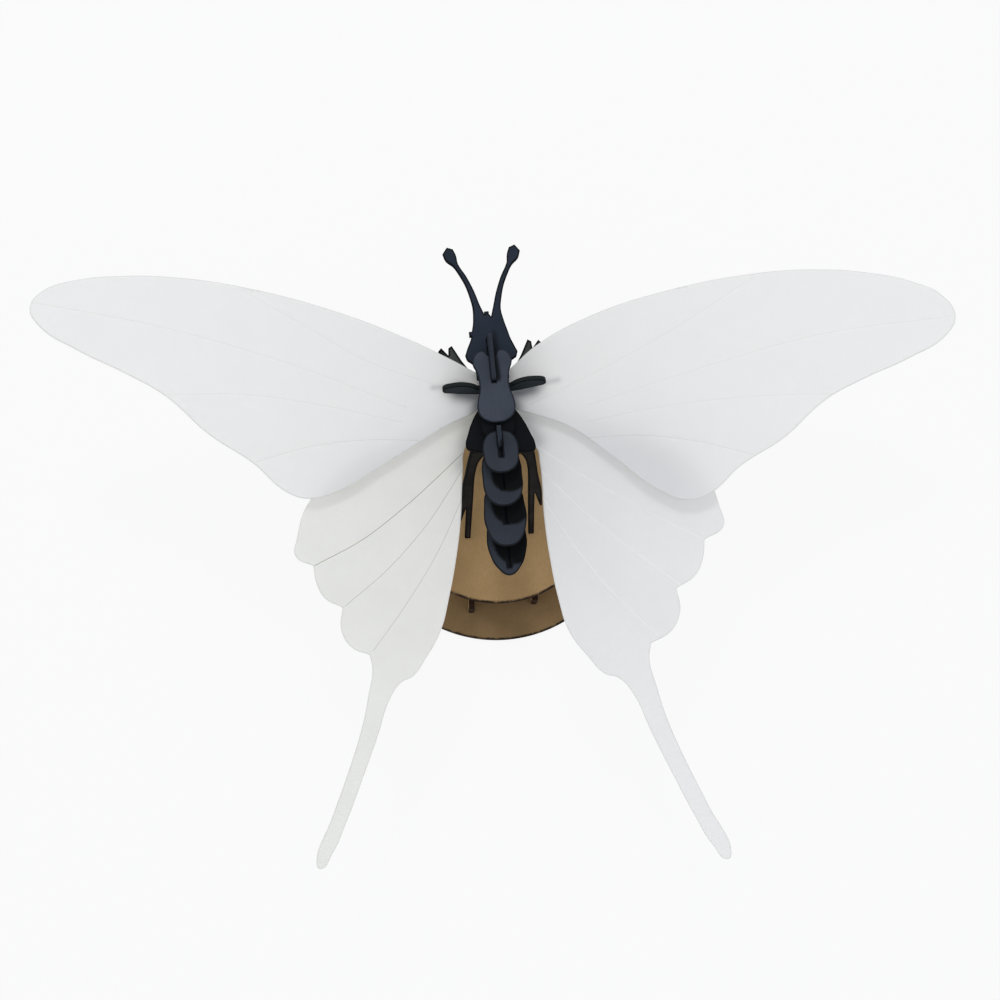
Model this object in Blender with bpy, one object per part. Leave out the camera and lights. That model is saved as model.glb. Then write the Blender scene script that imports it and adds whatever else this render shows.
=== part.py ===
"""Slot-together card butterfly with swallowtail wings, spread flat over a round two-tier board base.

Millimetre figures are turned into metres by MM. The origin is the centre of the lower disc's
underside. +Y is toward the head, +X is the butterfly's right wing side, +Z is up.
"""
import math

import bpy

MM = 0.001

# Sheet thicknesses and the air kept between neighbouring pieces
CARD = 1.5
PAPER = 0.6
BOARD = 2.0
GAP = 0.3

# Base: two discs, and two upright plates between them at their own sideways and forward places
LOWER_RADIUS = 44.9
UPPER_RADIUS = 34.2
DISC_SPACING = 12.0
SPACER_LENGTH = 64.5
SPACER_PLACE = {"l": (-8.4, -3.7), "r": (12.3, -0.9)}
BASE_TURN = math.radians(-5.0)

# Butterfly body, which sits a little to the right of the base's centre
BODY_X = 0.4
HEAD_Z = 65.35
COLLAR_Z = 67.15
THORAX_Z = 69.15
ABDOMEN_TOP_Z = 68.95
ABDOMEN_STEP = 6.0
CREST_TOP = 72.5
LEG_Z = 60.0
STEM_FRONT = 20.0
STEM_REAR = 8.0

# The wing bar leans forward about a line across the body, at this forward place and height
BAR_Y = 25.6
BAR_Z = 66.15
BAR_LEAN = math.radians(15.0)

# Wings: pivot from the body's centre plane, forward place, height, dihedral and turn in the sheet
FOREWING_POSE = {
    "l": {
        "x": 2.4, "y": 19.0, "z": 62.0, "dihedral": 17.0, "turn": 12.0,
        "fit": (1.016, 0.951), "shift": (0.0, 0.0),
    },
    "r": {
        "x": 1.6, "y": 19.0, "z": 62.0, "dihedral": 12.0, "turn": -0.5,
        "fit": (0.984, 1.052), "shift": (3.5, 6.2),
    },
}
HINDWING_POSE = {
    "l": {
        "x": 2.9, "y": 4.0, "z": 58.5, "dihedral": 15.0, "turn": -55.0,
        "fit": (0.976, 0.931), "shift": (0.0, 0.0),
    },
    "r": {
        "x": 2.1, "y": 4.0, "z": 58.5, "dihedral": 8.0, "turn": -58.2,
        "fit": (1.024, 1.074), "shift": (-4.2, 1.2),
    },
}

# Knots with a trailing "c" are sharp corners, and the others are smooth
FOREWING_BLADE = [
    (26.9, 19.0), (50.0, 23.3), (78.4, 25.0), (98.0, 23.6), (112.0, 20.8), (124.7, 16.5), (132.8, 11.4),
    (135.8, 5.2), (132.6, 0.2), (121.0, -5.1), (107.0, -9.4), (95.2, -14.0), (81.5, -23.4), (67.6, -30.0),
    (58.0, -36.6), (51.4, -37.9), (44.0, -35.0), (28.5, -21.8),
]
FOREWING_ROOT = {
    "l": [
        (12.0, -6.6), (3.2, 0.4), (1.6, 3.0, "c"), (1.6, 8.0, "c"), (3.5, 9.4), (4.7, 12.0), (8.0, 13.4),
        (15.0, 15.7),
    ],
    "r": [
        (18.9, -13.8), (12.7, -10.4), (5.4, -7.4), (-2.6, -4.6, "c"), (-2.6, 4.4, "c"), (1.1, 6.9),
        (9.6, 12.5),
    ],
}
HINDWING_BLADE = [
    (54.5, -12.8), (63.8, -12.9), (70.5, -12.2), (74.2, -9.8), (80.0, -9.3),
    (92.0, -11.8), (105.0, -14.2), (118.0, -16.4), (128.0, -17.4), (133.6, -16.4), (132.6, -14.5),
    (118.6, -11.7), (104.7, -9.1), (92.0, -6.1), (82.5, -2.8), (75.2, 0.2), (71.9, 3.2, "c"), (72.7, 9.6),
    (69.8, 15.0), (63.8, 18.2, "c"), (64.2, 24.4), (61.8, 29.0), (57.6, 32.8, "c"), (57.9, 39.2),
    (52.8, 41.8), (42.2, 44.4), (28.7, 41.4), (13.5, 33.3),
]
HINDWING_ROOT = {
    "l": [
        (-1.8, 24.5), (-11.5, 17.4), (-15.7, 9.3, "c"), (-6.8, 2.9, "c"), (-1.7, 9.6), (0.8, 9.8), (6.9, 6.8),
        (12.3, 4.0), (20.0, -0.2), (30.5, -4.9), (43.0, -9.5),
    ],
    "r": [
        (0.0, 24.4), (-8.4, 17.7), (-11.8, 10.7, "c"), (-3.1, 5.5, "c"), (2.2, 10.9), (5.2, 11.7), (9.3, 9.9),
        (14.0, 7.2), (22.9, 1.5), (34.4, -4.7), (45.3, -9.7),
    ],
}

# Right halves of the symmetric cards, from front to rear
HEAD_HALF = [
    (0.0, 48.8), (0.7, 48.5), (0.8, 46.8, "c"), (4.5, 46.5, "c"), (5.2, 43.0), (5.8, 41.0), (6.9, 38.7),
    (7.8, 36.5), (7.3, 35.0), (6.0, 33.9), (5.3, 32.8), (5.0, 30.6), (4.9, 28.6, "c"),
    (1.05, 28.6, "c"), (1.05, 41.6, "c"), (0.0, 41.6, "c"),
]
HEAD_TAB = [(5.1, 43.8, "c"), (6.0, 43.8, "c"), (6.0, 42.2, "c"), (5.4, 42.2, "c")]
ANTENNA = [
    (1.3, 47.2, "c"), (2.2, 51.5), (3.4, 55.6), (5.3, 60.4), (7.5, 64.6), (7.9, 67.4), (8.7, 69.5),
    (10.5, 70.2), (12.0, 68.2), (11.2, 66.0), (9.1, 64.0), (7.5, 61.2), (6.0, 57.8), (5.0, 54.1), (4.4, 50.3),
    (4.4, 46.9, "c"),
]
ANTENNA_PLACE = {"l": (0.2, 0.8, HEAD_Z), "r": (0.0, 0.0, HEAD_Z)}
THORAX_HALF = [
    (1.05, 26.6, "c"), (1.05, 34.9, "c"), (2.4, 36.6), (4.3, 36.2), (5.7, 34.4), (5.9, 32.6), (5.1, 30.4),
    (4.5, 27.4), (4.6, 24.4), (5.3, 22.0), (5.7, 18.7), (5.1, 16.6), (3.0, 14.8), (0.0, 14.2),
]
COLLAR_HALF = [
    (0.0, 22.0), (3.0, 21.2), (5.0, 18.6), (5.3, 14.8), (4.6, 11.2), (2.8, 9.2), (1.05, 8.6, "c"),
    (1.05, 13.6, "c"), (0.0, 13.6, "c"),
]
ABDOMEN_HALVES = [
    [
        (1.05, 3.6, "c"), (1.05, 11.8, "c"), (3.4, 10.9), (5.2, 8.0), (5.3, 4.2), (4.7, 1.4), (2.9, -0.4),
        (0.0, -1.1),
    ],
    [
        (1.05, -5.1, "c"), (1.05, 6.4, "c"), (4.6, 5.8), (5.9, 2.4), (6.0, -0.8), (5.7, -5.6), (4.2, -8.5),
        (0.0, -10.2),
    ],
    [
        (1.05, -14.8, "c"), (1.05, -4.2, "c"), (4.8, -4.4), (6.2, -9.0), (6.1, -15.4), (3.5, -20.4),
        (0.0, -21.6),
    ],
    [
        (1.05, -27.5, "c"), (1.05, -13.0, "c"), (4.6, -13.2), (6.1, -18.0), (5.6, -22.7), (3.6, -27.2),
        (0.0, -29.8),
    ],
]

# The bell is slightly lopsided, so each side has its own outline from front to rear
BELL_SIDES = {
    "l": [
        (0.0, 22.6), (3.4, 21.6), (6.0, 18.6), (8.0, 15.2), (9.3, 12.0), (10.2, 8.9), (9.8, 7.6), (8.8, 7.0),
        (5.0, 6.2), (1.05, 6.0, "c"), (1.05, 20.2, "c"), (0.0, 20.2, "c"),
    ],
    "r": [
        (0.0, 22.6), (3.4, 21.6), (6.0, 18.2), (7.9, 15.0), (9.4, 11.4), (10.8, 6.9), (10.5, 5.7), (9.2, 5.2),
        (5.0, 5.6), (1.05, 6.0, "c"), (1.05, 20.2, "c"), (0.0, 20.2, "c"),
    ],
}

# Upright cards: the spine in the plane X = 0 as (forward, up), the wing bar as (side, up along its lean)
SPINE = [
    (50.3, 62.4), (50.3, 64.2), (41.3, 64.2), (41.3, 71.6), (40.4, CREST_TOP), (27.2, CREST_TOP), (27.2, 63.9),
    (19.9, 63.9), (19.9, 66.1), (13.3, 66.1), (13.0, 71.2), (8.0, 71.6), (6.7, 70.8), (6.7, 67.9), (0.8, 67.9),
    (0.8, 61.9), (-8.6, 61.9), (-8.6, 55.9), (-18.8, 55.9), (-18.8, 49.9), (-28.2, 49.9), (-28.2, 47.8),
    (-22.0, 45.5), (-6.0, 46.5), (STEM_REAR, 49.0), (STEM_REAR, 16.3), (STEM_FRONT, 16.3), (STEM_FRONT, 55.0),
    (24.0, 58.0), (36.0, 60.4),
]
WING_BAR_HALF = [
    (0.0, -1.8), (5.0, -1.8), (14.0, 0.4), (15.2, 0.9), (15.7, 1.8), (15.5, 3.1), (14.6, 3.9), (12.6, 4.4),
    (10.0, 4.5), (7.8, 3.8), (6.2, 2.8), (5.0, 1.5), (0.0, 1.5),
]
FRONT_LEG = [
    (1.1, 24.8), (3.4, 24.8), (8.8, 31.4), (12.8, 36.4), (15.8, 39.8), (14.8, 40.9), (12.8, 38.4),
    (12.6, 40.6), (11.5, 41.3), (7.4, 34.0), (1.1, 27.6),
]
FRONT_LEG_SHIFT = {"l": 0.0, "r": 0.4}

# Hind leg card, from its bridge down the inner edge to the foot and up the outer edge with its fork
HIND_LEG = [
    (5.9, -1.8), (7.3, -4.6), (8.0, -8.5), (8.4, -12.0), (8.8, -24.0), (9.5, -43.8), (11.3, -43.8),
    (11.0, -32.0),
]
HIND_LEG_SPUR = {
    "l": [(11.0, -27.5), (12.5, -34.3), (13.2, -34.8)],
    "r": [(10.8, -21.8), (12.7, -28.6), (13.4, -29.0)],
}
HIND_LEG_OUTER = [(13.0, -21.1), (12.0, -15.5), (11.4, -11.5), (10.8, -6.5), (10.2, -2.5), (9.6, 0.9)]
HIND_LEG_BRIDGE = (-1.8, 0.6)
HIND_LEG_PLACE = {"l": (1.0, 8.4, 55.2), "r": (1.0, 8.4, 56.0)}
HIND_LEG_SLOPE = math.radians(62.5)
HIND_LEG_TURN = math.radians(-2.3)


def new_material(name, colour, roughness, metallic=0.0):
    material = bpy.data.materials.new(name)
    material.use_nodes = True
    surface = material.node_tree.nodes["Principled BSDF"]
    surface.inputs["Base Color"].default_value = (*colour, 1.0)
    surface.inputs["Roughness"].default_value = roughness
    surface.inputs["Metallic"].default_value = metallic
    material.diffuse_color = (*colour, 1.0)
    return material


def add_ring(curve, knots, side=1):
    """Adds one closed outline; a ring of corners only is a plain polygon."""
    smooth = any(len(knot) == 2 for knot in knots)
    spline = curve.splines.new("BEZIER" if smooth else "POLY")
    points = spline.bezier_points if smooth else spline.points
    points.add(len(knots) - 1)
    for point, knot in zip(points, knots):
        x = side * knot[0] * MM
        y = knot[1] * MM
        if smooth:
            point.co = (x, y, 0.0)
            kind = "VECTOR" if len(knot) == 3 else "AUTO"
            point.handle_left_type = kind
            point.handle_right_type = kind
        else:
            point.co = (x, y, 0.0, 1.0)
    spline.use_cyclic_u = True


def add_card(name, rings, thickness, material, collection, side=1, resolution=4):
    """Makes a flat card from outlines in its own XY plane, centred on its thickness."""
    curve = bpy.data.curves.new(name, "CURVE")
    curve.dimensions = "2D"
    curve.fill_mode = "BOTH"
    curve.extrude = thickness * MM / 2
    curve.resolution_u = resolution
    for ring in rings:
        add_ring(curve, ring, side)
    card = bpy.data.objects.new(name, curve)
    card.data.materials.append(material)
    collection.objects.link(card)
    return card


def corners(points):
    return [(x, y, "c") for x, y in points]


def both_sides(right, left=None):
    """Closes half outlines into one; knots on the centre line aren't doubled."""
    mirrored = [(-knot[0], *knot[1:]) for knot in reversed(left or right) if knot[0] > 0]
    return list(right) + mirrored


def stand_up(card, across):
    """Turns a card whose outline is (forward, up) or (side, up) from the XY plane to upright."""
    if across:
        card.rotation_euler = (math.pi / 2, 0.0, 0.0)
    else:
        card.rotation_euler = (math.pi / 2, 0.0, math.pi / 2)


def add_wing(name, blade, root, pose, side, material, collection):
    """Lays a flat wing sheet: turned in its own plane, then lifted outward by its dihedral."""
    lift = math.radians(pose["dihedral"])
    wing = add_card(name, [root + blade], PAPER, material, collection, side, resolution=5)
    out, forward = pose["shift"]
    wing.rotation_mode = "ZYX"
    wing.rotation_euler = (0.0, -side * lift, side * math.radians(pose["turn"]))
    wing.scale = (pose["fit"][0], pose["fit"][1], 1.0)
    wing.location = (
        side * (pose["x"] + out * math.cos(lift)) * MM,
        (pose["y"] + forward) * MM,
        (pose["z"] + out * math.sin(lift)) * MM,
    )
    return wing


def add_hind_leg(name, place, spur, side, material, collection):
    """Lays a sloping leg card whose bridge reaches in to the spine from its own sideways place."""
    reach = 1.1 - side * place[0]
    low, high = HIND_LEG_BRIDGE
    outline = corners([(reach, high), (reach, low)] + HIND_LEG + spur + HIND_LEG_OUTER)
    leg = add_card(name, [outline], CARD, material, collection, side)
    leg.rotation_mode = "ZYX"
    leg.rotation_euler = (HIND_LEG_SLOPE, 0.0, HIND_LEG_TURN)
    leg.location = [value * MM for value in place]
    return leg


def add_disc(name, radius, bottom, material, collection):
    bpy.ops.mesh.primitive_cylinder_add(
        vertices=96, radius=radius * MM, depth=BOARD * MM, location=(0.0, 0.0, (bottom + BOARD / 2) * MM)
    )
    disc = bpy.context.object
    disc.name = name
    disc.data.name = name
    disc.data.materials.append(material)
    disc.data.shade_smooth()
    disc.data.set_sharp_from_angle(angle=math.radians(40.0))
    for owner in list(disc.users_collection):
        owner.objects.unlink(disc)
    collection.objects.link(disc)
    return disc


def main():
    for existing in list(bpy.data.objects):
        bpy.data.objects.remove(existing, do_unlink=True)

    parts = bpy.data.collections.new("card_butterfly")
    bpy.context.scene.collection.children.link(parts)

    slate = new_material("slate_card", (0.035, 0.042, 0.055), 0.75)
    black = new_material("black_card", (0.012, 0.013, 0.017), 0.8)
    paper = new_material("wing_paper", (0.80, 0.80, 0.79), 0.85)
    kraft = new_material("kraft_board", (0.42, 0.27, 0.16), 0.85)

    body = bpy.data.objects.new("body_axis", None)
    body.location = (BODY_X * MM, 0.0, 0.0)
    parts.objects.link(body)
    base = bpy.data.objects.new("base_axis", None)
    base.rotation_euler = (0.0, 0.0, BASE_TURN)
    parts.objects.link(base)

    # Base: two discs held apart by two upright board plates
    add_disc("base_lower_disc", LOWER_RADIUS, 0.0, kraft, parts).parent = base
    add_disc("base_upper_disc", UPPER_RADIUS, BOARD + DISC_SPACING, kraft, parts).parent = base
    low = BOARD + GAP
    high = BOARD + DISC_SPACING - GAP
    half = SPACER_LENGTH / 2
    for letter in "lr":
        outline = corners([(-half, low), (half, low), (half, high), (-half, high)])
        spacer = add_card("base_spacer_" + letter, [outline], BOARD, kraft, parts)
        stand_up(spacer, across=False)
        sideways, forward = SPACER_PLACE[letter]
        spacer.location = (sideways * MM, forward * MM, 0.0)
        spacer.parent = base

    # Level body cards, from the head, with a small tab on its left, to the tail
    head_left = HEAD_HALF[:4] + HEAD_TAB + HEAD_HALF[5:]
    level = [
        ("head", both_sides(HEAD_HALF, head_left), slate, HEAD_Z),
        ("thorax_plate", both_sides(THORAX_HALF), slate, THORAX_Z),
        ("collar_plate", both_sides(COLLAR_HALF), black, COLLAR_Z),
        ("bell_plate", both_sides(BELL_SIDES["r"], BELL_SIDES["l"]), black, HEAD_Z),
    ]
    for number, half_outline in enumerate(ABDOMEN_HALVES):
        height = ABDOMEN_TOP_Z - number * ABDOMEN_STEP
        level.append(("abdomen_" + str(number + 1), both_sides(half_outline), slate, height))
    for name, outline, material, height in level:
        card = add_card(name, [outline], CARD, material, parts)
        card.location.z = height * MM
        card.parent = body
    for letter, side in (("l", -1), ("r", 1)):
        antenna = add_card("antenna_" + letter, [ANTENNA], CARD, slate, parts, side, resolution=3)
        antenna.location = [value * MM for value in ANTENNA_PLACE[letter]]
        antenna.parent = body

    # Upright cards
    spine = add_card("spine", [corners(SPINE)], CARD, black, parts)
    stand_up(spine, across=False)
    spine.parent = body
    bar = add_card("wing_bar", [both_sides(corners(WING_BAR_HALF))], CARD, black, parts)
    stand_up(bar, across=True)
    bar.rotation_euler.x -= BAR_LEAN
    bar.location = (0.0, BAR_Y * MM, BAR_Z * MM)
    bar.parent = body

    # Legs: level forked front pair, and a sloping forked hind pair that stands on the upper disc
    for letter, side in (("l", -1), ("r", 1)):
        leg = add_card("front_leg_" + letter, [corners(FRONT_LEG)], CARD, black, parts, side)
        leg.location = (FRONT_LEG_SHIFT[letter] * MM, 0.0, LEG_Z * MM)
        leg.parent = body
        spur = HIND_LEG_SPUR[letter]
        leg = add_hind_leg("hind_leg_" + letter, HIND_LEG_PLACE[letter], spur, side, black, parts)
        leg.parent = body

    # Wings
    wings = [
        ("forewing_", FOREWING_BLADE, FOREWING_ROOT, FOREWING_POSE),
        ("hindwing_", HINDWING_BLADE, HINDWING_ROOT, HINDWING_POSE),
    ]
    for start, blade, root, pose in wings:
        for letter, side in (("l", -1), ("r", 1)):
            wing = add_wing(start + letter, blade, root[letter], pose[letter], side, paper, parts)
            wing.parent = body

    bpy.context.view_layer.update()


main()
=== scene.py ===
"""Looks of the slot-together card butterfly: its cards, scored wing sheets and board base, in a pale studio.

Plane figures are in millimetres, which MM turns into metres. A point on a wing is its distance out along the
sheet from the body's centre plane, and its distance forward.
"""
import math

import bpy
import numpy as np
from mathutils import Matrix, Vector
from mathutils.geometry import convex_hull_2d, delaunay_2d_cdt


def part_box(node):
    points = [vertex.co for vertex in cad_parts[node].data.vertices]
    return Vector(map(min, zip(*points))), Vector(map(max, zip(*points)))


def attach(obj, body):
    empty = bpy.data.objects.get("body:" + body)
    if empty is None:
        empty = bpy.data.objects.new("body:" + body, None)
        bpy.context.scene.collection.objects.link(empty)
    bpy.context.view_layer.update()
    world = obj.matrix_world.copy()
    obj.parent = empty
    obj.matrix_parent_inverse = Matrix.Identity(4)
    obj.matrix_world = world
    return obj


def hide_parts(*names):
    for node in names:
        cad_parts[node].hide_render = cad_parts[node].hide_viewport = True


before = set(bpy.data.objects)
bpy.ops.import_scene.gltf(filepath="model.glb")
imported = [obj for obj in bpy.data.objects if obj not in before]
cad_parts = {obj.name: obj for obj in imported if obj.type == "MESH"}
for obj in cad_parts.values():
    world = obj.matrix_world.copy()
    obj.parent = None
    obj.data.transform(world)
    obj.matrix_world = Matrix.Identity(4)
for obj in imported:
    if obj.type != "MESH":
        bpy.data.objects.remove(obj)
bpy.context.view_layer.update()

MM = 0.001

# Camera and light
CAMERA_PLACE = (-24.0, -98.0, 598.0)
CAMERA_TARGET = (1.7, 2.3, 0.0)
CAMERA_ROLL = math.radians(-9.0)
LENS = 64.8
SENSOR = 36.0
KEY_PLACE = (-60.0, 420.0, 1050.0)
KEY_SIZE = 0.2
KEY_POWER = 1.7
KEY_COLOUR = (1.0, 0.985, 0.96)
SKY_COLOUR = (0.94, 0.97, 1.0)
SKY_STRENGTH = 0.73
FLOOR_ALBEDO = 0.07
FLOOR_GLOW = 0.90
FLOOR_SIZE = 6.0

# How a card is read back from its CAD node: decimals that corners are welded to, the cosine above which two
# facets face the same way, and the way that a card's top looks, also when the card stands upright
WELD_DIGITS = 3
SAME_WAY = 0.999
TOP_WAY = (0.3, -0.2, 1.0)

# How outlines are rounded off and filled
CORNER_ANGLE = math.radians(38.0)
SHARP_ANGLE = math.radians(50.0)
LINE_CUTS = 3
HEAD_CUTS = 6
EDGE_ROUNDING = 0.12
CARD_GRID = 0.5
FILL_TOLERANCE = 1e-4

# Width of the charred rim
SCORCH_WIDTH = 0.55
LEG_SCORCH_WIDTH = 0.8
BOARD_SCORCH_WIDTH = 1.0

# A CAD slot keeps air beside the spine, and the real one closes on it
SLOT_HALF = 1.05
SLOT_TOLERANCE = 0.02
CLOSED_HALF = 0.6

# Painted shadow: how far the shadow painted under each abdomen plate reaches onto the next one, to the right
# and forward
PLATE_SHADOW_SHIFT = (2.0, -5.0)
SHADE_PAINT_FADE = 0.7

# Painted shade: the spine is painted dark in the abdomen's slots, rearward of here
SPINE_SHADE_FROM = 9.6

# Wing sheets, with finer points where shade is painted on them
SHEET_THICKNESS = 0.4
SHEET_GRID = 2.0
SHEET_MARGIN = 0.8
SHADE_GRID = 0.7
SHADE_MARGIN = 0.4
SHADE_REACH = 2.5
VEIN_SPACING = 1.0
SCORE_WIDTH = 0.34
SCORE_DEPTH = 0.07
CREASE_HEIGHT = 0.26
CREASE_REACH = 6.0

# Scored lines of each wing: how strongly each shows, and its knots from the outer end to the root
VEINS = {
    "forewing_l": [
        (0.5, [(75.5, 58.0), (57.5, 47.0), (39.5, 36.0), (19.5, 28.5)]),
        (0.6, [(135.5, 54.0), (99.0, 46.5), (63.5, 35.5), (29.0, 21.5)]),
        (0.6, [(99.0, 26.5), (75.5, 26.0), (52.0, 22.0), (29.5, 16.5)]),
        (0.9, [(74.5, 6.0), (58.5, 10.0), (42.0, 11.5), (25.0, 11.0)]),
    ],
    "forewing_r": [
        (0.6, [(83.0, 50.0), (59.5, 38.5), (35.5, 28.5), (11.0, 20.0)]),
        (0.5, [(137.5, 29.5), (101.0, 29.5), (65.0, 24.5), (29.5, 17.5)]),
        (0.5, [(102.0, 11.0), (77.5, 13.5), (52.5, 14.0), (28.0, 12.5)]),
        (0.8, [(76.0, -4.0), (60.5, 2.0), (44.5, 6.0), (28.0, 7.5)]),
    ],
    "hindwing_l": [
        (1.0, [(59.5, -24.5), (44.5, -17.5), (30.5, -8.0), (10.6, 8.0)]),
        (0.6, [(51.5, -37.0), (38.0, -27.0), (25.5, -15.0), (11.2, 3.2)]),
        (0.5, [(44.0, -50.5), (33.0, -37.5), (22.0, -22.5), (12.0, -5.0)]),
    ],
    "hindwing_r": [
        (0.6, [(59.5, -26.5), (44.0, -16.5), (28.0, -5.0), (11.0, 8.4)]),
        (0.9, [(50.5, -39.0), (37.5, -27.0), (24.5, -14.0), (11.6, 1.6)]),
        (1.0, [(42.0, -53.0), (30.5, -39.5), (21.0, -25.0), (11.8, -7.5)]),
    ],
}

# Shade painted on the translucent paper where dark card stands close behind or beside it: how strongly, how
# far it spreads, and the line that it spreads from
PAINTED_WING_SHADE = {
    "forewing_l": [
        (0.9, 3.2, [(11.0, 25.5), (5.0, 24.0), (5.0, 20.0)]),
        (0.4, 1.0, [(19.0, 27.1), (15.0, 27.3)]),
    ],
    "forewing_r": [
        (0.9, 3.2, [(12.0, 25.0), (6.0, 23.5), (6.0, 20.0)]),
        (0.4, 1.0, [(20.4, 26.4), (16.5, 26.2)]),
    ],
    "hindwing_l": [(0.45, 3.6, [(4.0, 20.0), (9.0, 12.0), (11.5, 4.0)])],
    "hindwing_r": [(0.45, 3.0, [(6.0, 20.0), (9.5, 15.5), (12.0, 9.5)])],
}

# The head and both antennae are one card: half outlines, from the nub between the antennae round to the rear.
# The left antenna and the notch beside it sit a little differently.
HEAD_NUB = [(0.0, 49.2), (0.7, 48.8)]
ANTENNA = [
    (1.2, 48.1), (2.2, 51.5), (3.4, 55.6), (5.3, 60.4), (7.5, 64.6), (7.9, 67.4), (8.7, 69.5), (10.5, 70.2),
    (12.0, 68.2), (11.2, 66.0), (9.1, 64.0), (7.5, 61.2), (6.0, 57.8), (5.0, 54.1), (4.4, 50.3),
]
HEAD_SIDES = {
    "l": [
        (4.5, 46.5), (5.1, 43.8), (6.0, 43.8), (6.0, 42.2), (5.4, 42.2), (5.8, 41.0), (6.9, 38.7),
        (7.8, 36.5), (7.3, 35.0),
    ],
    "r": [(5.0, 46.5), (5.9, 43.0), (6.4, 41.0), (7.3, 38.7), (8.2, 36.5), (7.7, 35.0)],
}
HEAD_REAR = [(6.0, 33.9), (5.3, 32.8), (5.0, 30.6), (4.9, 28.6), (0.6, 28.6), (0.6, 41.3), (0.0, 41.3)]
LEFT_ANTENNA_SHIFT = (0.2, 0.8)
LEFT_NOTCH = (-1.0, 49.5)

# Painted shadow of the crest, to its right: how strong, how soft, and its outline in the card's plane
CREST_SHADOW_PAINT = {
    "head": (0.6, 1.2, [(1.8, 43.8), (2.6, 42.7), (2.9, 38.3), (2.3, 32.7), (-0.3, 32.9), (0.5, 39.5)]),
    "thorax_plate": (
        0.85, 0.7, [(1.4, 37.2), (2.0, 36.4), (2.3, 31.7), (2.6, 28.1), (2.2, 26.8), (0.1, 27.0)]
    ),
}


def linear(red, green, blue):
    """A colour given as 0 to 255 display values, in the renderer's linear values."""
    shares = [value / 255 for value in (red, green, blue)]
    return tuple(share / 12.92 if share <= 0.04045 else ((share + 0.055) / 1.055) ** 2.4 for share in shares)


# Outlines in a plane

def rounded(loop, cuts):
    """Puts points between those of a closed outline, on a smooth curve that keeps its corners."""
    loop = np.asarray(loop, float)
    step = np.roll(loop, -1, axis=0) - loop
    length = np.linalg.norm(step, axis=1)
    out = step / length[:, None]
    into = np.roll(out, 1, axis=0)
    before = np.roll(length, 1)
    mean = into * before[:, None] + out * length[:, None]
    mean /= np.linalg.norm(mean, axis=1)[:, None]
    corner = (into * out).sum(1) < math.cos(CORNER_ANGLE)
    leave = np.where(corner[:, None], out, mean)
    arrive = np.where(corner[:, None], into, mean)
    points = []
    for i in range(len(loop)):
        j = (i + 1) % len(loop)
        for k in range(cuts):
            t = k / cuts
            points.append(
                loop[i] * (2 * t**3 - 3 * t**2 + 1)
                + leave[i] * length[i] * (t**3 - 2 * t**2 + t)
                + loop[j] * (3 * t**2 - 2 * t**3)
                + arrive[j] * length[i] * (t**3 - t**2)
            )
    return np.array(points)


def smooth_line(knots, spacing):
    """Even points along a smooth open line through its knots."""
    knots = np.asarray(knots, float)
    chord = np.linalg.norm(np.diff(knots, axis=0), axis=1)
    place = np.concatenate([[0.0], np.cumsum(chord)])
    slope = np.gradient(knots, place, axis=0)
    count = max(2, int(place[-1] / spacing))
    points = []
    for at in np.linspace(0.0, place[-1], count + 1):
        i = min(int(np.searchsorted(place, at, side="right")) - 1, len(chord) - 1)
        t = (at - place[i]) / chord[i]
        points.append(
            knots[i] * (2 * t**3 - 3 * t**2 + 1)
            + slope[i] * chord[i] * (t**3 - 2 * t**2 + t)
            + knots[i + 1] * (3 * t**2 - 2 * t**3)
            + slope[i + 1] * chord[i] * (t**3 - t**2)
        )
    return np.array(points)


def sideways(line, distance):
    """The same open line moved to its left by a distance."""
    along = np.gradient(line, axis=0)
    along /= np.linalg.norm(along, axis=1)[:, None]
    return line + distance * np.stack([-along[:, 1], along[:, 0]], axis=1)


def reach(points, path, closed):
    """The distance from each point to a path in the same plane."""
    starts = path if closed else path[:-1]
    steps = (np.roll(path, -1, axis=0) if closed else path[1:]) - starts
    nearest = np.full(len(points), np.inf)
    for start, step in zip(starts, steps):
        share = np.clip((points - start) @ step / (step @ step), 0.0, 1.0)
        nearest = np.minimum(nearest, np.linalg.norm(points - start - share[:, None] * step, axis=1))
    return nearest


def inside(points, loop):
    """Which points lie in a closed outline."""
    within = np.zeros(len(points), bool)
    for (x0, y0), (x1, y1) in zip(loop, np.roll(loop, -1, axis=0)):
        if y0 != y1:
            crossed = (y0 > points[:, 1]) != (y1 > points[:, 1])
            within ^= crossed & (points[:, 0] < x0 + (x1 - x0) * (points[:, 1] - y0) / (y1 - y0))
    return within


def ring_inside(loop, distance):
    """Loose points that follow an outline at a distance inside it."""
    step = np.roll(loop, -1, axis=0) - np.roll(loop, 1, axis=0)
    step /= np.linalg.norm(step, axis=1)[:, None]
    ring = loop + distance * np.stack([-step[:, 1], step[:, 0]], axis=1)
    return ring[inside(ring, loop) & (reach(ring, loop, True) > 0.9 * distance)]


def grid_inside(loop, spacing, margin):
    """Loose points on a grid of triangles, a margin inside an outline."""
    low = loop.min(0)
    high = loop.max(0)
    rows = []
    for row, y in enumerate(np.arange(low[1], high[1], spacing * math.sqrt(3) / 2)):
        xs = np.arange(low[0] + spacing / 2 * (row % 2), high[0], spacing)
        rows.append(np.stack([xs, np.full(len(xs), y)], axis=1))
    grid = np.concatenate(rows)
    return grid[inside(grid, loop) & (reach(grid, loop, True) > margin)]


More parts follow.
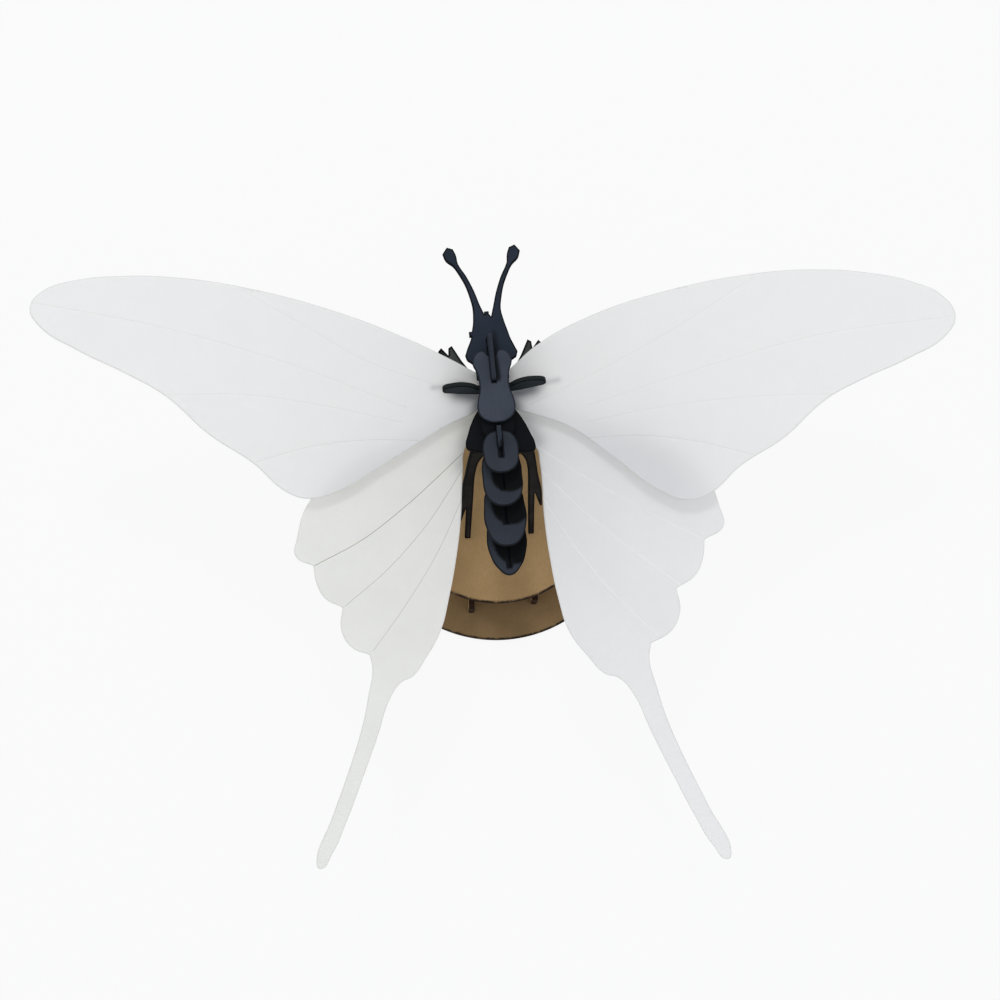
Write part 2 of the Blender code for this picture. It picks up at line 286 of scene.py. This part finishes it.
def triangulated(loop, lines, loose):
    """Corners and triangles that fill an outline, with the lines among their edges."""
    points = [Vector(point) for point in loop]
    edges = []
    for line in lines:
        first = len(points)
        points += [Vector(point) for point in line]
        edges += [(first + i, first + i + 1) for i in range(len(line) - 1)]
    points += [Vector(point) for point in loose]
    corners, _, faces = delaunay_2d_cdt(points, edges, [list(range(len(loop)))], 1, FILL_TOLERANCE)[:3]
    corners = np.array([corner[:] for corner in corners])
    faces = np.array(faces)
    a, b, c = (corners[faces[:, k]] for k in range(3))
    area = (b - a)[:, 0] * (c - a)[:, 1] - (b - a)[:, 1] * (c - a)[:, 0]
    faces[area < 0] = faces[area < 0][:, ::-1]
    return corners, faces


def boundary_loops(triangles):
    """Chains the edges that only one triangle has into closed loops, with the inside on their left."""
    edges = {(int(t[k]), int(t[(k + 1) % 3])) for t in triangles for k in range(3)}
    following = {start: end for start, end in sorted(edges) if (end, start) not in edges}
    loops = []
    while following:
        start = next(iter(following))
        loop = [start]
        here = following.pop(start)
        while here != start:
            loop.append(here)
            here = following.pop(here)
        loops.append(loop)
    return loops


# Cards

class Card:
    """The plane, thickness and outline of a flat CAD node."""

    def __init__(self, node):
        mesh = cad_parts[node].data
        mesh.calc_loop_triangles()
        places = np.array([vertex.co[:] for vertex in mesh.vertices]) / MM
        corners = np.array([triangle.vertices[:] for triangle in mesh.loop_triangles])
        near = np.round(places, WELD_DIGITS)
        _, first, same = np.unique(near, axis=0, return_index=True, return_inverse=True)
        places = places[first]
        triangles = same.reshape(-1)[corners]
        a, b, c = (places[triangles[:, k]] for k in range(3))
        cross = np.cross(b - a, c - a)
        size = np.linalg.norm(cross, axis=1)
        facing = cross / size[:, None]
        biggest = max(range(len(size)), key=lambda i: size[(facing @ facing[i]) > SAME_WAY].sum())
        normal = facing[biggest]
        if normal @ TOP_WAY < 0:
            normal = -normal
        faces_right = abs(normal[0]) > 0.9
        across = np.array((0.0, 1.0, 0.0) if faces_right else (1.0, 0.0, 0.0))
        across -= normal * (across @ normal)
        self.normal = normal
        self.across = across / np.linalg.norm(across)
        self.forward = np.cross(self.normal, self.across)
        heights = places @ normal
        self.thickness = heights.max() - heights.min()
        middle = (heights.max() + heights.min()) / 2
        self.origin = normal * middle
        if normal[2] > 0.5:
            self.origin = np.array((0.0, 0.0, middle / normal[2]))
        top = triangles[(facing @ normal > SAME_WAY) & (heights[triangles].mean(axis=1) > middle)]
        flat = np.stack([(places - self.origin) @ self.across, (places - self.origin) @ self.forward], axis=1)
        self.loop = flat[max(boundary_loops(top), key=len)]

    def space(self, points, height):
        """Points of the card's plane, lifted off it by their heights, in metres."""
        flat = self.origin + points[:, :1] * self.across + points[:, 1:] * self.forward
        return (flat + np.asarray(height)[:, None] * self.normal) * MM


def add_sheet(
    name, card, loop, materials, thickness=None, lines=(), loose=(), relief=None, score=None, painted_shade=None,
    scorch_width=SCORCH_WIDTH,
):
    """Makes a closed sheet with rounded edges, and notes scorched, scored and painted-shade places on it.

    Relief lifts both sides of the sheet; score and painted_shade give each point's share of a scored line and
    of painted shade.
    """
    half = (thickness or card.thickness) / 2
    rings = [ring_inside(loop, EDGE_ROUNDING), ring_inside(loop, scorch_width)]
    extra = [np.asarray(points) for points in loose if len(points)]
    points, triangles = triangulated(loop, lines, np.concatenate(rings + extra))
    edge = reach(points, loop, True)
    lift = relief(points) if relief else np.zeros(len(points))
    scored = score(points) if score else np.zeros(len(points))
    shade_share = painted_shade(points) if painted_shade else np.zeros(len(points))
    rounding = EDGE_ROUNDING * np.clip(1.0 - edge / EDGE_ROUNDING, 0.0, 1.0)
    top = card.space(points, half + lift - rounding - SCORE_DEPTH * scored)
    bottom = card.space(points, lift - half + rounding)
    count = len(points)
    rims = []
    for ring in boundary_loops(triangles):
        for start, end in zip(ring, ring[1:] + ring[:1]):
            rims.append((start, start + count, end + count, end))
    faces = [tuple(face) for face in triangles] + [tuple(face[::-1] + count) for face in triangles] + rims
    mesh = bpy.data.meshes.new(name)
    mesh.from_pydata(np.concatenate([top, bottom]).tolist(), [], [[int(i) for i in face] for face in faces])
    for material in materials:
        mesh.materials.append(material)
    slots = np.zeros(len(faces), dtype=np.int32)
    slots[len(faces) - len(rims):] = 1
    mesh.polygons.foreach_set("material_index", slots)
    scorch = np.clip(1.0 - edge / scorch_width, 0.0, 1.0)
    marks = {"scorch": (scorch, scorch), "score": (scored, 0.5 * scored), "painted_shade": (shade_share, 0.0 * shade_share)}
    for title, values in marks.items():
        layer = mesh.attributes.new(title, "FLOAT", "POINT")
        layer.data.foreach_set("value", np.concatenate(values).astype(np.float32))
    mesh.shade_smooth()
    mesh.set_sharp_from_angle(angle=SHARP_ANGLE)
    mesh.validate()
    piece = bpy.data.objects.new(name, mesh)
    bpy.context.scene.collection.objects.link(piece)
    return piece


def settle(piece, slot, *nodes):
    """Says what the piece rides on and stands for; its slot is not used."""
    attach(piece, "root")
    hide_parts(*nodes)


# Materials

class Shader:
    """A Principled material and short ways to add nodes to it."""

    def __init__(self, name, colour, roughness, specular=0.12):
        self.material = bpy.data.materials.new(name)
        self.material.use_nodes = True
        self.tree = self.material.node_tree
        self.surface = self.tree.nodes["Principled BSDF"]
        self.surface.inputs["Base Color"].default_value = (*colour, 1.0)
        self.surface.inputs["Roughness"].default_value = roughness
        self.surface.inputs["Specular IOR Level"].default_value = specular
        self.place = self.add("ShaderNodeTexCoord").outputs["Object"]

    def add(self, kind, **settings):
        """A new shader node with its settings."""
        node = self.tree.nodes.new(kind)
        for key, value in settings.items():
            setattr(node, key, value)
        return node

    def link(self, source, target):
        self.tree.links.new(source, target)

    def noise(self, size, detail=3.0, stretch=(1.0, 1.0, 1.0)):
        """Soft noise from 0 to 1 whose lumps are about size millimetres."""
        mapping = self.add("ShaderNodeMapping")
        mapping.inputs["Scale"].default_value = stretch
        self.link(self.place, mapping.inputs["Vector"])
        noise = self.add("ShaderNodeTexNoise")
        noise.inputs["Scale"].default_value = 1.0 / (size * MM)
        noise.inputs["Detail"].default_value = detail
        self.link(mapping.outputs["Vector"], noise.inputs["Vector"])
        return noise.outputs["Fac"]

    def ramp(self, source, start, end, low=0.0, high=1.0):
        """Maps start to end on the source onto low to high, and stays between them."""
        node = self.add("ShaderNodeMapRange")
        node.inputs["From Min"].default_value = start
        node.inputs["From Max"].default_value = end
        node.inputs["To Min"].default_value = low
        node.inputs["To Max"].default_value = high
        self.link(source, node.inputs["Value"])
        return node.outputs["Result"]

    def attribute(self, name):
        """A number that add_sheet noted at each point."""
        return self.add("ShaderNodeAttribute", attribute_name=name).outputs["Fac"]

    def multiply(self, first, second):
        node = self.add("ShaderNodeMath", operation="MULTIPLY")
        self.link(first, node.inputs[0])
        self.link(second, node.inputs[1])
        return node.outputs[0]

    def mix(self, share, first, second):
        """Mixes two colours, each a tuple or a socket, by a share."""
        node = self.add("ShaderNodeMix", data_type="RGBA")
        self.link(share, node.inputs["Factor"])
        for value, slot in ((first, "A"), (second, "B")):
            target = next(s for s in node.inputs if s.name == slot and s.type == "RGBA")
            if isinstance(value, tuple):
                target.default_value = (*value, 1.0)
            else:
                self.link(value, target)
        return next(s for s in node.outputs if s.type == "RGBA")

    def colour(self, socket):
        self.link(socket, self.surface.inputs["Base Color"])

    def bump(self, height, distance, strength):
        """Adds relief of a distance in millimetres, over any relief that is there already."""
        node = self.add("ShaderNodeBump")
        node.inputs["Distance"].default_value = distance * MM
        node.inputs["Strength"].default_value = strength
        self.link(height, node.inputs["Height"])
        target = self.surface.inputs["Normal"]
        if target.is_linked:
            self.link(target.links[0].from_socket, node.inputs["Normal"])
        self.link(node.outputs["Normal"], target)


# Colour of the shade painted into deep gaps between cards, and of the shade painted on the paper near dark
# card; how far light spreads in the paper
PAINTED_SHADE_COLOUR = linear(4, 5, 7)
WING_SHADE_COLOUR = linear(96, 101, 112)
PAPER_SCATTER = 2.0


def card_material(name, light, dark, charred, roughness):
    """Dyed card: cloudy colour with fine fibres, charred along its cut edges, and painted shade where it is
    marked shaded.
    """
    shader = Shader(name, light, roughness)
    cloud = shader.ramp(shader.noise(9.0), 0.35, 0.65)
    fibre = shader.ramp(shader.noise(0.35, 4.0, (1.0, 0.35, 1.0)), 0.3, 0.7, 0.0, 0.5)
    body = shader.mix(cloud, light, dark)
    body = shader.mix(fibre, body, dark)
    ragged = shader.ramp(shader.noise(0.6), 0.2, 0.8, 0.6, 1.25)
    scorch = shader.ramp(shader.multiply(shader.attribute("scorch"), ragged), 0.05, 0.5)
    body = shader.mix(scorch, body, charred)
    # Painted shade: the card turns near black where it is marked as lying in shade.
    shader.colour(shader.mix(shader.attribute("painted_shade"), body, PAINTED_SHADE_COLOUR))
    shader.bump(shader.noise(0.25, 4.0), 0.03, 0.5)
    shader.bump(shader.noise(3.0), 0.05, 0.5)
    return shader.material


def edge_material(name, light, dark, roughness):
    """A laser-cut edge: fine upright streaks, with painted shade where its card is marked shaded."""
    shader = Shader(name, light, roughness)
    streak = shader.ramp(shader.noise(0.4, 3.0, (1.0, 1.0, 0.15)), 0.3, 0.7)
    # Painted shade on the edge, as on the card's face.
    shader.colour(shader.mix(shader.attribute("painted_shade"), shader.mix(streak, light, dark), PAINTED_SHADE_COLOUR))
    shader.bump(shader.noise(0.3, 3.0, (1.0, 1.0, 0.2)), 0.05, 0.6)
    return shader.material


def paper_material(name, light, shade, line, line_share, rim):
    """White translucent wing paper with a soft cloud of fibres, scored lines, a fine cut rim and painted
    shade near dark card.
    """
    shader = Shader(name, light, 0.62, 0.35)
    cloud = shader.ramp(shader.noise(14.0), 0.3, 0.7)
    fibre = shader.ramp(shader.noise(0.8, 5.0), 0.35, 0.65, 0.0, 0.35)
    body = shader.mix(cloud, light, shade)
    body = shader.mix(fibre, body, shade)
    scored = shader.ramp(shader.attribute("score"), 0.0, 1.0, 0.0, line_share)
    body = shader.mix(scored, body, line)
    # Painted shade on the paper near the dark cards.
    body = shader.mix(shader.attribute("painted_shade"), body, WING_SHADE_COLOUR)
    scorch = shader.ramp(shader.attribute("scorch"), 0.15, 1.0, 0.0, 0.6)
    shader.colour(shader.mix(scorch, body, rim))
    shader.surface.inputs["Subsurface Weight"].default_value = 1.0
    shader.surface.inputs["Subsurface Radius"].default_value = (1.0, 1.0, 0.95)
    shader.surface.inputs["Subsurface Scale"].default_value = PAPER_SCATTER * MM
    shader.bump(shader.noise(0.8, 3.0), 0.012, 0.3)
    return shader.material


def board_material(name, light, dark, speck, charred):
    """Brown board: pressed fibres, darker flecks, and a charred band along the cut edge."""
    shader = Shader(name, light, 0.8, 0.25)
    cloud = shader.ramp(shader.noise(12.0), 0.3, 0.7)
    fibre = shader.ramp(shader.noise(0.5, 5.0, (1.0, 0.3, 1.0)), 0.3, 0.7, 0.0, 0.7)
    body = shader.mix(cloud, light, dark)
    body = shader.mix(fibre, body, dark)
    flecks = shader.ramp(shader.noise(0.35, 2.0, (1.0, 0.5, 1.0)), 0.6, 0.75, 0.0, 0.35)
    body = shader.mix(flecks, body, speck)
    ragged = shader.ramp(shader.noise(1.2, 4.0), 0.25, 0.75, 0.4, 1.5)
    scorch = shader.ramp(shader.multiply(shader.attribute("scorch"), ragged), 0.1, 0.7)
    shader.colour(shader.mix(scorch, body, charred))
    shader.bump(shader.noise(0.4, 5.0), 0.05, 0.6)
    shader.bump(shader.noise(2.5), 0.06, 0.5)
    return shader.material


SLATE = card_material("slate_card_face", linear(57, 62, 71), linear(50, 55, 64), linear(22, 25, 31), 0.72)
THORAX_SLATE = card_material(
    "thorax_card_face", linear(70, 75, 87), linear(60, 66, 77), linear(34, 38, 47), 0.72
)
HEAD_SLATE = card_material("head_card_face", linear(44, 52, 65), linear(38, 45, 57), linear(5, 6, 9), 0.72)
# Painted shade: the collar and bell plates are painted near black for the deep shade under the thorax plate.
SHADED_BLACK_CARD = card_material("black_card_painted_shade_face", linear(16, 18, 24), linear(11, 12, 17), linear(3, 3, 5), 0.75)
BAR_BLACK = card_material("bar_card_face", linear(50, 58, 62), linear(40, 46, 50), linear(6, 7, 9), 0.75)
# Painted sheen: the front legs' black card is given a grey face colour for the sheen on it.
FRONT_LEG_SHEEN = card_material("front_leg_card_painted_sheen", linear(82, 88, 85), linear(64, 69, 66), linear(8, 8, 9), 0.75)
LEG_BLACK = card_material("hind_leg_card_face", linear(54, 50, 46), linear(16, 15, 13), linear(5, 4, 4), 0.75)
SLATE_EDGE = edge_material("slate_card_edge", linear(14, 16, 21), linear(7, 8, 10), 0.8)
SPINE_EDGE = edge_material("spine_card_edge", linear(50, 56, 66), linear(40, 45, 54), 0.75)
BAR_EDGE = edge_material("bar_card_edge", linear(38, 44, 45), linear(27, 31, 32), 0.8)
PAPER_EDGE = edge_material("wing_paper_edge", linear(205, 203, 197), linear(186, 183, 175), 0.8)
CUT_RIM = linear(176, 174, 168)
FOREWING_PAPER = paper_material(
    "forewing_paper", linear(228, 228, 228), linear(225, 225, 225), linear(200, 198, 190), 0.8, CUT_RIM
)
LEFT_HINDWING_PAPER = paper_material(
    "hindwing_paper_scored", linear(225, 225, 221), linear(218, 218, 213), linear(120, 114, 104), 1.0, CUT_RIM
)
# Painted highlight: the right hindwing's scored lines are painted near white, for the light on their creases.
HIGHLIT_RIGHT_HINDWING_PAPER = paper_material(
    "hindwing_paper_painted_crease_highlights",
    linear(225, 226, 228), linear(221, 222, 225), linear(250, 250, 250), 1.0, CUT_RIM,
)
BOARD = board_material(
    "board_face", linear(184, 152, 108), linear(166, 134, 92), linear(122, 92, 58), linear(30, 18, 11)
)
# Painted shade: the lower disc is the same board, painted darker for the shade of the upper disc and the
# wings.
SHADED_LOWER_BOARD = board_material(
    "lower_board_painted_shade_face", linear(150, 123, 86), linear(132, 106, 72), linear(98, 74, 47), linear(26, 16, 10)
)
BOARD_EDGE = edge_material("board_edge", linear(58, 38, 24), linear(30, 19, 12), 0.85)

# Node, face material, edge material and slot of each card that is made from its own outline
CARDS = [
    ("thorax_plate", THORAX_SLATE, SLATE_EDGE, "slate_card"),
    ("collar_plate", SHADED_BLACK_CARD, SLATE_EDGE, "black_card"),
    ("bell_plate", SHADED_BLACK_CARD, SLATE_EDGE, "black_card"),
    ("abdomen_1", SLATE, SLATE_EDGE, "slate_card"),
    ("abdomen_2", SLATE, SLATE_EDGE, "slate_card"),
    ("abdomen_3", SLATE, SLATE_EDGE, "slate_card"),
    ("abdomen_4", SLATE, SLATE_EDGE, "slate_card"),
    ("spine", HEAD_SLATE, SPINE_EDGE, "black_card"),
    ("wing_bar", BAR_BLACK, BAR_EDGE, "black_card"),
    ("front_leg_l", FRONT_LEG_SHEEN, SLATE_EDGE, "black_card"),
    ("front_leg_r", FRONT_LEG_SHEEN, SLATE_EDGE, "black_card"),
    ("hind_leg_l", LEG_BLACK, SLATE_EDGE, "black_card"),
    ("hind_leg_r", LEG_BLACK, SLATE_EDGE, "black_card"),
    ("base_lower_disc", SHADED_LOWER_BOARD, BOARD_EDGE, "kraft_board"),
    ("base_upper_disc", BOARD, BOARD_EDGE, "kraft_board"),
    ("base_spacer_l", BOARD, BOARD_EDGE, "kraft_board"),
    ("base_spacer_r", BOARD, BOARD_EDGE, "kraft_board"),
]


def close_slot(card, centre):
    """Brings the long sides of a level card's slot in to the spine."""
    beside = np.abs(np.abs(card.loop[:, 0] - centre) - SLOT_HALF) < SLOT_TOLERANCE
    card.loop[beside, 0] = centre + np.sign(card.loop[beside, 0] - centre) * CLOSED_HALF


def under(outline, shift, fade):
    """A function that is 1 for points under a moved outline's hull, 0 outside it, with a soft border."""
    hull = convex_hull_2d([Vector(point) for point in outline])
    over = outline[hull] + shift
    return lambda points: np.clip(
        0.5 + np.where(inside(points, over), 1.0, -1.0) * reach(points, over, True) / fade, 0.0, 1.0
    )


def painted_crest_shadow(node):
    """A function that gives the crest's painted shadow on a card."""
    strength, fade, outline = CREST_SHADOW_PAINT[node]
    dark = under(np.array(outline), (0.0, 0.0), fade)
    return lambda points: strength * dark(points)


def add_cards():
    """Every flat card, with its slot closed and shade painted into its gaps."""
    low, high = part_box("spine")
    centre = (low.x + high.x) / 2 / MM
    before = None
    for node, face, edge, slot in CARDS:
        card = Card(node)
        if node.startswith(("thorax", "collar", "bell", "abdomen")):
            close_slot(card, centre)
        loop = rounded(card.loop, LINE_CUTS)
        loose = [] if node.endswith("disc") else [grid_inside(loop, CARD_GRID, CARD_GRID)]
        painted_shade = None
        # Painted shade on the spine's rear part, down in the abdomen's slots.
        if node == "spine":
            painted_shade = lambda points: np.clip((SPINE_SHADE_FROM - points[:, 0]) / SHADE_PAINT_FADE, 0.0, 1.0)
        # Painted shadow to the right of the crest, on the thorax plate.
        if node in CREST_SHADOW_PAINT:
            painted_shade = painted_crest_shadow(node)
        # Painted shadow: each abdomen plate is painted dark where the plate before it, moved by the shift
        # above, would shade it.
        if node.startswith("abdomen"):
            if before is not None:
                painted_shade = under(before, PLATE_SHADOW_SHIFT, SHADE_PAINT_FADE)
            before = loop
        width = SCORCH_WIDTH
        if "leg" in node:
            width = LEG_SCORCH_WIDTH
        if node.startswith("base"):
            width = BOARD_SCORCH_WIDTH
        piece = add_sheet(
            node + "_card", card, loop, (face, edge), loose=loose, painted_shade=painted_shade, scorch_width=width
        )
        settle(piece, slot, node)


def add_head():
    """The head and antennae, which are cut as one card."""
    card = Card("head")
    low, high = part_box("thorax_plate")
    centre = (low.x + high.x) / 2 / MM
    right = HEAD_NUB + ANTENNA + HEAD_SIDES["r"] + HEAD_REAR
    shift_out, shift_forward = LEFT_ANTENNA_SHIFT
    left = [(-x, y) for x, y in HEAD_NUB[1:]] + [LEFT_NOTCH]
    left += [(shift_out - x, y + shift_forward) for x, y in ANTENNA[1:]]
    left += [(-x, y) for x, y in HEAD_SIDES["l"] + HEAD_REAR[:-1]]
    outline = [(centre + x, y) for x, y in left + right[::-1]]
    loop = rounded(outline, HEAD_CUTS)
    loose = [grid_inside(loop, CARD_GRID, CARD_GRID)]
    # Painted shadow to the right of the crest, on the head.
    painted_shade = painted_crest_shadow("head")
    piece = add_sheet("head_card", card, loop, (HEAD_SLATE, SLATE_EDGE), loose=loose, painted_shade=painted_shade)
    settle(piece, "slate_card", "head", "antenna_l", "antenna_r")


def add_wing(node, paper):
    """A wing sheet with its scored lines as shallow grooves along gentle folds."""
    card = Card(node)
    loop = rounded(card.loop, LINE_CUTS)
    side = -1.0 if node.endswith("_l") else 1.0
    strengths = [strength for strength, _ in VEINS[node]]
    veins = [smooth_line(np.array(knots) * (side, 1.0), VEIN_SPACING) for _, knots in VEINS[node]]
    shade_lines = [(share, spread, np.array(line) * (side, 1.0)) for share, spread, line in PAINTED_WING_SHADE[node]]
    lines = [sideways(vein, shift * SCORE_WIDTH / 2) for vein in veins for shift in (-1.0, 0.0, 1.0)]

    def score(points):
        shown = [
            strength * np.clip(1.0 - reach(points, vein, False) / (SCORE_WIDTH / 2), 0.0, 1.0)
            for strength, vein in zip(strengths, veins)
        ]
        return np.max(shown, axis=0)

    # Painted shade: how dark the paper is painted near the cards.
    def wing_shade(points):
        shown = [
            share * np.exp(-((reach(points, line, False) / spread) ** 2)) for share, spread, line in shade_lines
        ]
        return np.max(shown, axis=0)

    def relief(points):
        fold = sum(np.exp(-reach(points, vein, False) / CREASE_REACH) for vein in veins)
        fade = np.clip(reach(points, loop, True) / CREASE_REACH, 0.0, 1.0)
        return CREASE_HEIGHT * (fold - 0.5) * fade

    fine = grid_inside(loop, SHADE_GRID, SHADE_MARGIN)
    nearest = np.min([reach(fine, line, False) / spread for _, spread, line in shade_lines], axis=0)
    loose = [grid_inside(loop, SHEET_GRID, SHEET_MARGIN), fine[nearest < SHADE_REACH]]
    piece = add_sheet(
        node + "_sheet", card, loop, (paper, PAPER_EDGE), SHEET_THICKNESS, lines, loose,
        relief=relief, score=score, painted_shade=wing_shade,
    )
    settle(piece, "wing_paper", node)


def add_studio():
    """Pale floor, soft key from beyond the head, even sky and the camera."""
    bpy.ops.mesh.primitive_plane_add(size=FLOOR_SIZE)
    floor = bpy.context.object
    floor.name = "floor"
    shader = Shader("floor_white", (FLOOR_ALBEDO,) * 3, 1.0, 0.0)
    shader.surface.inputs["Emission Color"].default_value = (1.0, 1.0, 1.0, 1.0)
    shader.surface.inputs["Emission Strength"].default_value = FLOOR_GLOW
    floor.data.materials.append(shader.material)

    world = bpy.data.worlds.new("sky")
    world.use_nodes = True
    background = world.node_tree.nodes["Background"]
    background.inputs["Color"].default_value = (*SKY_COLOUR, 1.0)
    background.inputs["Strength"].default_value = SKY_STRENGTH
    bpy.context.scene.world = world

    lamp = bpy.data.lights.new("key", "AREA")
    lamp.shape = "DISK"
    lamp.size = KEY_SIZE
    lamp.energy = KEY_POWER
    lamp.color = KEY_COLOUR
    key = bpy.data.objects.new("key", lamp)
    key.location = Vector(KEY_PLACE) * MM
    key.rotation_euler = (-key.location).to_track_quat("-Z", "Y").to_euler()
    bpy.context.scene.collection.objects.link(key)

    place = Vector(CAMERA_PLACE) * MM
    forward = (Vector(CAMERA_TARGET) * MM - place).normalized()
    level = forward.cross(Vector((0.0, 0.0, 1.0))).normalized()
    upright = level.cross(forward)
    up = upright * math.cos(CAMERA_ROLL) + level * math.sin(CAMERA_ROLL)
    right = forward.cross(up)
    camera = bpy.data.objects.new("camera", bpy.data.cameras.new("camera"))
    camera.data.lens = LENS
    camera.data.sensor_width = SENSOR
    camera.data.sensor_fit = "HORIZONTAL"
    camera.matrix_world = Matrix.Translation(place) @ Matrix((right, up, -forward)).transposed().to_4x4()
    bpy.context.scene.collection.objects.link(camera)
    bpy.context.scene.camera = camera
    bpy.context.scene.view_settings.view_transform = "Standard"


add_studio()
add_cards()
add_head()
add_wing("forewing_l", FOREWING_PAPER)
add_wing("forewing_r", FOREWING_PAPER)
add_wing("hindwing_l", LEFT_HINDWING_PAPER)
add_wing("hindwing_r", HIGHLIT_RIGHT_HINDWING_PAPER)
